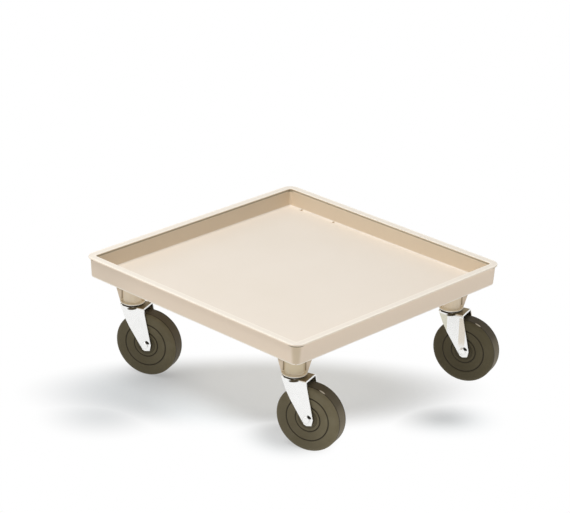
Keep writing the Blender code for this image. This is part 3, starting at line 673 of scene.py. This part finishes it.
CROWN_TOP = heights("fork")[1]
AXLE_HEIGHT = joints["wheel_spin_front_left"].z
RACE_RADIUS = 0.020
zinc, shader, where = new_finish("bright_zinc", (0.87, 0.87, 0.85), 0.27, 1.0)
tone = shades(zinc, noise(zinc, where, 60.0, 4.0),
              (0.30, (0.87, 0.87, 0.855)), (0.70, (0.905, 0.905, 0.895)))
# A dark reflection of the tray's underside is painted on top of the fork's crown, with painted
# shade darkest round the race.
height = split(zinc, where)["Z"]
from_stem = from_nearest_stem(zinc, where)
facing = facing_up(zinc)
near_race = smooth_step(zinc, from_stem, RACE_RADIUS + 0.0014, RACE_RADIUS + 0.0007)
upward = arithmetic(zinc, "MAXIMUM", smooth_step(zinc, facing, 0.86, 0.95),
                    arithmetic(zinc, "MULTIPLY", near_race,
                               smooth_step(zinc, facing, 0.16, 0.28)))
on_crown = arithmetic(zinc, "MULTIPLY",
                      smooth_step(zinc, height, CROWN_TOP - 0.0045, CROWN_TOP - 0.0035),
                      smooth_step(zinc, height, CROWN_TOP + 0.0010, CROWN_TOP + 0.0005))
crown_reflection = arithmetic(zinc, "MULTIPLY", upward, on_crown)
tone = blended(zinc, crown_reflection, tone, (0.27, 0.215, 0.125))
tone = stained(zinc, tone, 1.0, (0.055, 0.043, 0.026), crown_reflection,
               smooth_step(zinc, from_stem, RACE_RADIUS + 0.0016, RACE_RADIUS + 0.0004))
# Painted shade and dark reflection mark a spot at the upper edge of each axle bolt's head, and
# a dark reflection is painted over the bend of each crown below the race.
by_bolt = own_place(zinc, "bolt_place")
bolt_edge_shade = oval(zinc, by_bolt, (0.0058, 0.0066, 0.0205), -35, (0.0048, 0.0024, 0.0040), 1.15, 0.8)
bend_reflection = oval(zinc, by_bolt, (-0.0270, CROWN_TOP - AXLE_HEIGHT - 0.0036, 0.0180), 14,
               (0.0110, 0.0026, 0.0150), 1.1, 0.75)
tone = blended(zinc, bolt_edge_shade, tone, (0.03, 0.028, 0.022))
tone = blended(zinc, bend_reflection, tone, (0.070, 0.055, 0.032))
# Reflections are painted on the legs of the rear right fork in two upright strips.
leg = split(zinc, by_bolt)
leg_reflection_masks = (smooth_step(zinc, height, CROWN_TOP - 0.004, CROWN_TOP - 0.007),
          smooth_step(zinc, leg["Y"], 0.004, 0.022),
          smooth_step(zinc, diagonal(zinc, where), *REAR_RIGHT))
for low, high, colour in ((-0.0085, 0.0030, (0.74, 0.68, 0.59)),
                          (-0.060, -0.0345, (0.66, 0.64, 0.53))):
    strip = band(zinc, leg["X"], low, high, 0.0012)
    tone = stained(zinc, tone, 1.0, colour, *leg_reflection_masks, strip)
wire(zinc, tone, shader.inputs["Base Color"])
dull = noise(zinc, where, 90.0, 2.0)
patchy = add_node(zinc, "ShaderNodeMapRange", {
    "Value": dull, "From Min": 0.3, "From Max": 0.7, "To Min": 0.24, "To Max": 0.29})
smeared = arithmetic(zinc, "MULTIPLY", arithmetic(zinc, "MAXIMUM", crown_reflection, bolt_edge_shade), 0.5)
wire(zinc, arithmetic(zinc, "MAXIMUM", patchy.outputs["Result"], smeared),
     shader.inputs["Roughness"])
grained(zinc, shader, dull, 0.01, 0.0001)

steel, shader, where = new_finish("hardened_steel", (0.30, 0.29, 0.27), 0.38, 1.0)
mottle = noise(steel, where, 150.0, 4.0)
tone = shades(steel, mottle, (0.30, (0.24, 0.23, 0.21)), (0.75, (0.36, 0.35, 0.33)))
wire(steel, tone, shader.inputs["Base Color"])
grained(steel, shader, mottle, 0.15, 0.0002)

nylon, shader, where = new_finish("natural_nylon", (0.78, 0.76, 0.70), 0.45)
tone = shades(nylon, noise(nylon, where, 90.0, 3.0),
              (0.30, (0.74, 0.71, 0.64)), (0.70, (0.80, 0.78, 0.73)))
wire(nylon, tone, shader.inputs["Base Color"])

at_caster = {}
for corner in CORNERS:
    trail = joints[f"wheel_spin_{corner}"] - joints[f"swivel_{corner}"]
    at_caster[corner] = at_stem[corner] @ Matrix.Rotation(atan2(trail.y, trail.x), 4, "Z")


def on_each_caster(piece, kind, body, finish):
    """Copy a piece, made about a swivel axis at the origin, to all four casters."""
    wear(piece, finish)
    for corner in CORNERS:
        copy = copied(piece, f"{kind}_{corner}_shown")
        place(copy, at_caster[corner])
        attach(copy, body if body == "tray" else f"{body}_{corner}")
        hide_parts(f"{kind}_{corner}")
    bpy.data.objects.remove(piece, do_unlink=True)


PIN_RADIUS = 0.0055
PIN_HOLE = PIN_RADIUS + CLEARANCE
race_low, race_high = heights("upper_race")
race = turned("race", [
    (PIN_HOLE, race_low + 0.0003), (PIN_HOLE + 0.0003, race_low),
    (RACE_RADIUS - 0.0004, race_low), (RACE_RADIUS, race_low + 0.0004),
    (RACE_RADIUS, race_high - 0.0004), (RACE_RADIUS - 0.0004, race_high),
    (PIN_HOLE + 0.0003, race_high), (PIN_HOLE, race_high - 0.0003),
], closed=True)
smooth(race, radians(50))
on_each_caster(race, "upper_race", "tray", zinc)

washer_low, washer_high = heights("swivel_washer")
washer = turned("washer", [
    (PIN_HOLE, washer_low), (0.0117, washer_low), (0.012, washer_low + 0.0003),
    (0.012, washer_high - 0.0003), (0.0117, washer_high), (PIN_HOLE, washer_high),
], closed=True)
smooth(washer, radians(50))
on_each_caster(washer, "swivel_washer", "tray", nylon)

retainer_low, retainer_high = heights("race_retainer")
retainer = turned("retainer", [
    (PIN_HOLE, retainer_low), (0.0123, retainer_low), (0.013, retainer_low + 0.0007),
    (0.013, retainer_high - 0.0003), (0.0127, retainer_high), (PIN_HOLE, retainer_high),
], closed=True)
smooth(retainer, radians(50))
on_each_caster(retainer, "race_retainer", "tray", zinc)

GROOVE_RADIUS = 0.0044
GROOVE_HALF = 0.00075
pin_high = heights("kingpin")[1]
ring_low, ring_high = heights("grip_ring")
ring_middle = (ring_low + ring_high) / 2
head_top = retainer_low - CLEARANCE
dome = [(0.0079 * sin(turn), head_top - 0.0006 - 0.0018 * cos(turn)) for turn in quarter(6)]
kingpin = turned("kingpin", [
    *dome, (0.0080, head_top - 0.0004), (0.0077, head_top), (PIN_RADIUS, head_top),
    (PIN_RADIUS, ring_middle - GROOVE_HALF), (GROOVE_RADIUS, ring_middle - GROOVE_HALF),
    (GROOVE_RADIUS, ring_middle + GROOVE_HALF), (PIN_RADIUS, ring_middle + GROOVE_HALF),
    (PIN_RADIUS, pin_high - 0.0015), (PIN_RADIUS - 0.0015, pin_high), (0.0, pin_high),
], steps=48)
smooth(kingpin, radians(50))
on_each_caster(kingpin, "kingpin", "tray", zinc)
for corner in CORNERS:
    wear(frame["nodes"][f"stem_sleeve_{corner}"], zinc)
    wear(frame["nodes"][f"grip_ring_{corner}"], steel)
    wear(frame["nodes"][f"caged_balls_{corner}"], steel)

# ---------------------------------------------------------------- fork
# One blank of steel sheet folded over into a crown and two legs, creased for stiffness,
# with a dish pressed in for the balls and a flat seat for the axle at each foot.
SHEET = 0.0025
TRAIL = (joints["wheel_spin_front_left"] - joints["swivel_front_left"]).xy.length
LEG_OUT = 0.0202
BEND = 0.0034
CREASE_BEND = 0.0012
CROWN_AHEAD = 0.0185
CROWN_BEHIND = 0.0312
CREASES = (0.0025, 0.0255)
LEANS_IN_AHEAD = 0.22
LEANS_IN_BEHIND = 0.03
foot = AXLE_HEIGHT - 0.023
blank_end = TRAIL + 0.0256
# place along the fork and the distance of the leg's outer face from its middle there
stations = (
    (-CROWN_AHEAD - SHEET, LEG_OUT - LEANS_IN_AHEAD * (CREASES[0] + CROWN_AHEAD + SHEET)),
    (CREASES[0], LEG_OUT),
    (CREASES[1], LEG_OUT),
    (blank_end, LEG_OUT - LEANS_IN_BEHIND * (blank_end - CREASES[1])),
)
x, out = stations[0]
fork = first_point("fork", (x, -out, foot))
for step in ((0, 0, CROWN_TOP - foot), (0, 2 * out, 0), (0, 0, foot - CROWN_TOP)):
    bpy.ops.mesh.extrude_region_move(TRANSFORM_OT_translate={"value": step})
bpy.ops.mesh.select_all(action="SELECT")
for (x, out), (next_x, next_out) in zip(stations, stations[1:]):
    bpy.ops.mesh.extrude_region_move(TRANSFORM_OT_translate={"value": (next_x - x, 0, 0)})
    bpy.ops.transform.resize(value=(1.0, next_out / out, 1.0), center_override=(0.0, 0.0, 0.0))
bpy.ops.mesh.select_all(action="SELECT")
bpy.ops.mesh.normals_make_consistent(inside=False)
if any(face.normal.z < -0.9 for face in bmesh.from_edit_mesh(fork.data).faces):
    bpy.ops.mesh.flip_normals()
pick("edges", lambda edge: len(edge.link_faces) == 2
     and all(abs(vert.co.z - CROWN_TOP) < TOUCH for vert in edge.verts)
     and abs(edge.verts[0].co.x - edge.verts[1].co.x) > 0.001)
bpy.ops.mesh.bevel(offset=BEND, segments=6, affect="EDGES")
for crease in CREASES:
    pick("edges", lambda edge: len(edge.link_faces) == 2
         and all(abs(vert.co.x - crease) < TOUCH for vert in edge.verts))
    bpy.ops.mesh.bevel(offset=CREASE_BEND, segments=2, affect="EDGES")
bpy.ops.object.mode_set(mode="OBJECT")
wall = fork.modifiers.new("sheet", "SOLIDIFY")
wall.thickness = SHEET
wall.offset = -1.0
wall.use_even_offset = True
apply_modifier(fork, wall)

leg_end = AXLE_HEIGHT - 0.0115
side_view = [Vector(point) for point in (
    (-CROWN_AHEAD, CROWN_TOP + SHEET),
    (-CROWN_AHEAD, CROWN_TOP - 0.002),
    (-CROWN_AHEAD + 0.0115, CROWN_TOP - 0.0255),
    (TRAIL - 0.004, leg_end + 0.002),
    (TRAIL + 0.001, leg_end),
    (TRAIL + 0.0105, leg_end + 0.002),
    (TRAIL + 0.0128, AXLE_HEIGHT + 0.002),
    (CROWN_BEHIND + 0.002, CROWN_TOP - 0.002),
    (CROWN_BEHIND, CROWN_TOP + SHEET),
)]
bpy.ops.object.mode_set(mode="EDIT")
for corner_here, corner_next in zip(side_view, side_view[1:]):
    along = (corner_next - corner_here).normalized()
    bpy.ops.mesh.select_all(action="SELECT")
    bpy.ops.mesh.bisect(plane_co=(corner_here.x, 0.0, corner_here.y),
                        plane_no=(along.y, 0.0, -along.x), use_fill=True, clear_outer=True)
finish_edit()

pad_out = LEG_OUT + 0.0003
pad_in = LEG_OUT - SHEET - 0.0010
dish_floor = heights("caged_balls")[0] - CLEARANCE
DISH_RADIUS = 0.0134
DISH_SPREAD = 0.45
boss_top = CROWN_TOP - SHEET / 2
dish_back = turned("dish_back", [
    (0.0, dish_floor - SHEET),
    (DISH_RADIUS + SHEET / 2 - 0.0006, dish_floor - SHEET),
    (DISH_RADIUS + SHEET / 2, dish_floor - SHEET + 0.0005),
    (DISH_RADIUS + SHEET / 2 + DISH_SPREAD * (boss_top - dish_floor + SHEET), boss_top),
    (0.0, boss_top),
])
combine(fork, dish_back, "UNION")
at_axle = Matrix.Translation((TRAIL, 0, AXLE_HEIGHT))
axle_place = at_axle @ Matrix.Rotation(pi / 2, 4, "X")
for side in (-1, 1):
    seat = turned("seat", [
        (0.0, pad_in), (0.0080, pad_in), (0.0083, pad_in + 0.0003),
        (0.0083, pad_out - 0.0002), (0.0080, pad_out), (0.0, pad_out)], steps=48)
    place(seat, at_axle @ Matrix.Rotation(side * pi / 2, 4, "X"))
    combine(fork, seat, "UNION")
dish = turned("dish", [
    (0.0, dish_floor), (DISH_RADIUS - 0.0008, dish_floor), (DISH_RADIUS, dish_floor + 0.0006),
    (DISH_RADIUS + DISH_SPREAD * (CROWN_TOP + SHEET - dish_floor), CROWN_TOP + SHEET),
    (0.0, CROWN_TOP + SHEET),
])
combine(fork, dish, "DIFFERENCE")
pin_hole = turned("pin_hole", [
    (0.0, AXLE_HEIGHT), (PIN_HOLE, AXLE_HEIGHT), (PIN_HOLE, CROWN_TOP), (0.0, CROWN_TOP),
], steps=48)
combine(fork, pin_hole, "DIFFERENCE")
AXLE_HOLE = 0.0043
axle_hole = turned("axle_hole", [
    (0.0, -0.03), (AXLE_HOLE, -0.03), (AXLE_HOLE, 0.03), (0.0, 0.03),
], steps=48)
combine(fork, place(axle_hole, axle_place), "DIFFERENCE")
edges = fork.modifiers.new("soft_edges", "BEVEL")
edges.width = 0.0004
edges.segments = 2
edges.limit_method = "ANGLE"
edges.angle_limit = radians(35)
apply_modifier(fork, edges)
smooth(fork)


def keep_place(piece, name, into=Matrix()):
    """Store where each point lies on its piece, so that marks stay on it as it turns."""
    places = piece.data.attributes.new(name, "FLOAT_VECTOR", "POINT")
    for vertex, stored in zip(piece.data.vertices, places.data):
        stored.vector = into @ vertex.co


keep_place(fork, "bolt_place", axle_place.inverted())
on_each_caster(fork, "fork", "swivel", zinc)

# ---------------------------------------------------------------- wheel
# Moulded in one piece in solid grey-brown rubber: round shoulders, a raised ring on each
# face with a groove inside it, a sunken web and a short hub around the steel sleeve.
wheel_low, wheel_high = heights("wheel")
WHEEL_RADIUS = (wheel_high - wheel_low) / 2
TREAD_HALF = 0.012
HUB_OUT = 0.0164
shoulder = [(WHEEL_RADIUS - 0.0075 * (1 - cos(turn)), TREAD_HALF + 0.0042 * sin(turn))
            for turn in quarter(8)]
face = [
    *shoulder,
    (0.0440, 0.0160), (0.0432, 0.0159), (0.0424, 0.0150), (0.0416, 0.0148), (0.0408, 0.0151),
    (0.0402, 0.0157), (0.0396, 0.0158), (0.0380, 0.0157),
    (0.0270, 0.0143), (0.0258, 0.0142), (0.0252, 0.0136), (0.0244, 0.0133), (0.0236, 0.0136),
    (0.0232, 0.0143), (0.0226, 0.0144), (0.0216, 0.0142),
    (0.0186, 0.0140), (0.0181, 0.0144), (0.0174, 0.0145), (0.0168, 0.0144), (0.0164, 0.0140),
    (0.0132, 0.0139), (0.0126, 0.0142), (0.0122, 0.0150), (0.0117, 0.0159), (0.0112, 0.0163),
    (0.0106, HUB_OUT), (0.0071, HUB_OUT), (0.0066, HUB_OUT - 0.0005),
]
wheel = turned("wheel", face + [(radius, -out) for radius, out in reversed(face)],
               steps=96, closed=True)
smooth(wheel, radians(60))
keep_place(wheel, "wheel_place")
place(wheel, axle_place)

rubber, shader, where = new_finish("grey_rubber", (0.13, 0.111, 0.07), 0.6)
shader.inputs["Specular IOR Level"].default_value = 0.2
own = own_place(rubber, "wheel_place")
parts = split(rubber, own)
flat = add_node(rubber, "ShaderNodeCombineXYZ", {"X": parts["X"], "Y": parts["Y"]})
radius = length(rubber, flat.outputs["Vector"])
out = arithmetic(rubber, "ABSOLUTE", parts["Z"])
tone = shades(rubber, noise(rubber, own, 45.0, 4.0),
              (0.30, (0.172, 0.143, 0.080)), (0.70, (0.206, 0.176, 0.106)))
# Painted shade darkens the faces towards one lower side. The rear right wheel is much darker than
# the rest, and the front left one a little; that one has neither the painted reflection nor the
# painted highlight on its tread.
DARK_RUBBER = (0.064, 0.053, 0.026)
FRONT_LEFT = (-0.15, -0.25)
rear_right = smooth_step(rubber, diagonal(rubber, where), *REAR_RIGHT)
front_left = smooth_step(rubber, diagonal(rubber, where), *FRONT_LEFT)
shows_reflections = arithmetic(rubber, "SUBTRACT", 1.0, front_left)
tone = stained(rubber, tone, 0.55, (0.085, 0.070, 0.040),
               smooth_step(rubber, diagonal(rubber, own), 0.045, -0.06))
tone = stained(rubber, tone, 0.70, DARK_RUBBER, rear_right)
tone = stained(rubber, tone, 0.25, DARK_RUBBER, front_left)
# Painted shade darkens the tread more than the faces, a pale reflection is painted along one
# stretch of it, and painted shade draws its edge and each groove and moulded ring. A painted
# highlight runs across one shoulder.
tread = arithmetic(rubber, "MULTIPLY",
                   smooth_step(rubber, out, TREAD_HALF + 0.0012, TREAD_HALF + 0.0004),
                   smooth_step(rubber, radius, WHEEL_RADIUS - 0.004, WHEEL_RADIUS - 0.003))
tone = stained(rubber, tone, 0.7, (0.072, 0.056, 0.034), tread)
tone = stained(rubber, tone, 0.6, (0.27, 0.23, 0.155), tread, shows_reflections,
               smooth_step(rubber, parts["X"], 0.050, 0.062))
# Painted shade along the tread's edge and in each groove and moulded ring.
for measure, at, half, amount in (
        (out, TREAD_HALF - 0.0002, 0.0009, 0.8), (radius, 0.0415, 0.0010, 0.85),
        (radius, 0.0243, 0.0010, 0.85), (radius, 0.0184, 0.0005, 0.55),
        (radius, 0.0164, 0.0005, 0.5), (radius, 0.0126, 0.0008, 0.7)):
    groove_shade = band(rubber, measure, at - half, at + half, 0.0005)
    tone = stained(rubber, tone, amount, (0.028, 0.021, 0.011), groove_shade)
# A painted highlight across one shoulder.
shoulder_highlight = oval(rubber, own, (0.0250, 0.0572, 0.0102), -23.5, (0.0064, 0.0014, 0.0022), 1.2, 0.7)
tone = stained(rubber, tone, 1.0, (0.78, 0.70, 0.56), shoulder_highlight, shows_reflections)
wire(rubber, tone, shader.inputs["Base Color"])
grained(rubber, shader, noise(rubber, own, 1100.0, 2.0), 0.3, 0.0002)
on_each_caster(wheel, "wheel", "wheel", rubber)

# ---------------------------------------------------------------- axle
# A plated bolt with a low round head goes through both legs and the steel sleeve in the
# hub, and is held on the other side by a washer and a hexagon nut.
HEAD_SEAT = pad_out + CLEARANCE
HEAD_TOP = HEAD_SEAT + 0.0022
NUT_WASHER = 0.0012
NUT_SEAT = HEAD_SEAT + NUT_WASHER + CLEARANCE
NUT_HEIGHT = 0.0055
bolt = turned("bolt", [
    (0.0, HEAD_TOP - 0.0004), (0.0036, HEAD_TOP - 0.0004), (0.0042, HEAD_TOP - 0.0002),
    (0.0050, HEAD_TOP), (0.0058, HEAD_TOP - 0.0002), (0.0066, HEAD_TOP - 0.0008),
    (0.0070, HEAD_TOP - 0.0015), (0.0070, HEAD_SEAT + 0.0002), (0.0068, HEAD_SEAT),
    (0.0040, HEAD_SEAT), (0.0040, -NUT_SEAT - NUT_HEIGHT),
    (0.0034, -NUT_SEAT - NUT_HEIGHT - 0.0008), (0.0, -NUT_SEAT - NUT_HEIGHT - 0.0008),
], steps=48)
smooth(bolt, radians(50))
keep_place(bolt, "bolt_place")
place(bolt, axle_place)
on_each_caster(bolt, "axle_bolt", "swivel", zinc)

nut_washer = turned("nut_washer", [
    (AXLE_HOLE, -HEAD_SEAT - NUT_WASHER), (0.0075, -HEAD_SEAT - NUT_WASHER),
    (0.0078, -HEAD_SEAT - 0.0009), (0.0078, -HEAD_SEAT - 0.0002),
    (0.0076, -HEAD_SEAT), (AXLE_HOLE, -HEAD_SEAT),
], steps=48, closed=True)
smooth(nut_washer, radians(50))
place(nut_washer, axle_place)
on_each_caster(nut_washer, "nut_washer", "swivel", zinc)

# The hexagon is turned a little, so that its corners miss the points of its chamfer's ring.
NUT_TURN = radians(3)
NUT_CORNER = 0.0065 / cos(pi / 6)
bpy.ops.mesh.primitive_cylinder_add(vertices=6, radius=NUT_CORNER, depth=NUT_HEIGHT + 0.004,
                                    location=(0.0, 0.0, -NUT_SEAT - NUT_HEIGHT / 2),
                                    rotation=(0.0, 0.0, NUT_TURN))
nut = bpy.context.object
nut.name = "nut"
bpy.ops.object.transform_apply(location=True, rotation=True)
chamfers = turned("chamfers", [
    (0.0, -NUT_SEAT - NUT_HEIGHT), (0.0063, -NUT_SEAT - NUT_HEIGHT),
    (0.0078, -NUT_SEAT - NUT_HEIGHT + 0.0009),
    (0.0078, -NUT_SEAT - 0.0009), (0.0063, -NUT_SEAT), (0.0, -NUT_SEAT),
], steps=48)
combine(nut, chamfers, "INTERSECT")
nut_hole = turned("nut_hole", [
    (0.0, -0.03), (AXLE_HOLE, -0.03), (AXLE_HOLE, 0.0), (0.0, 0.0),
], steps=48)
combine(nut, nut_hole, "DIFFERENCE")
smooth(nut, radians(25))
place(nut, axle_place)
on_each_caster(nut, "axle_nut", "swivel", zinc)
for corner in CORNERS:
    wear(frame["nodes"][f"axle_sleeve_{corner}"], zinc)
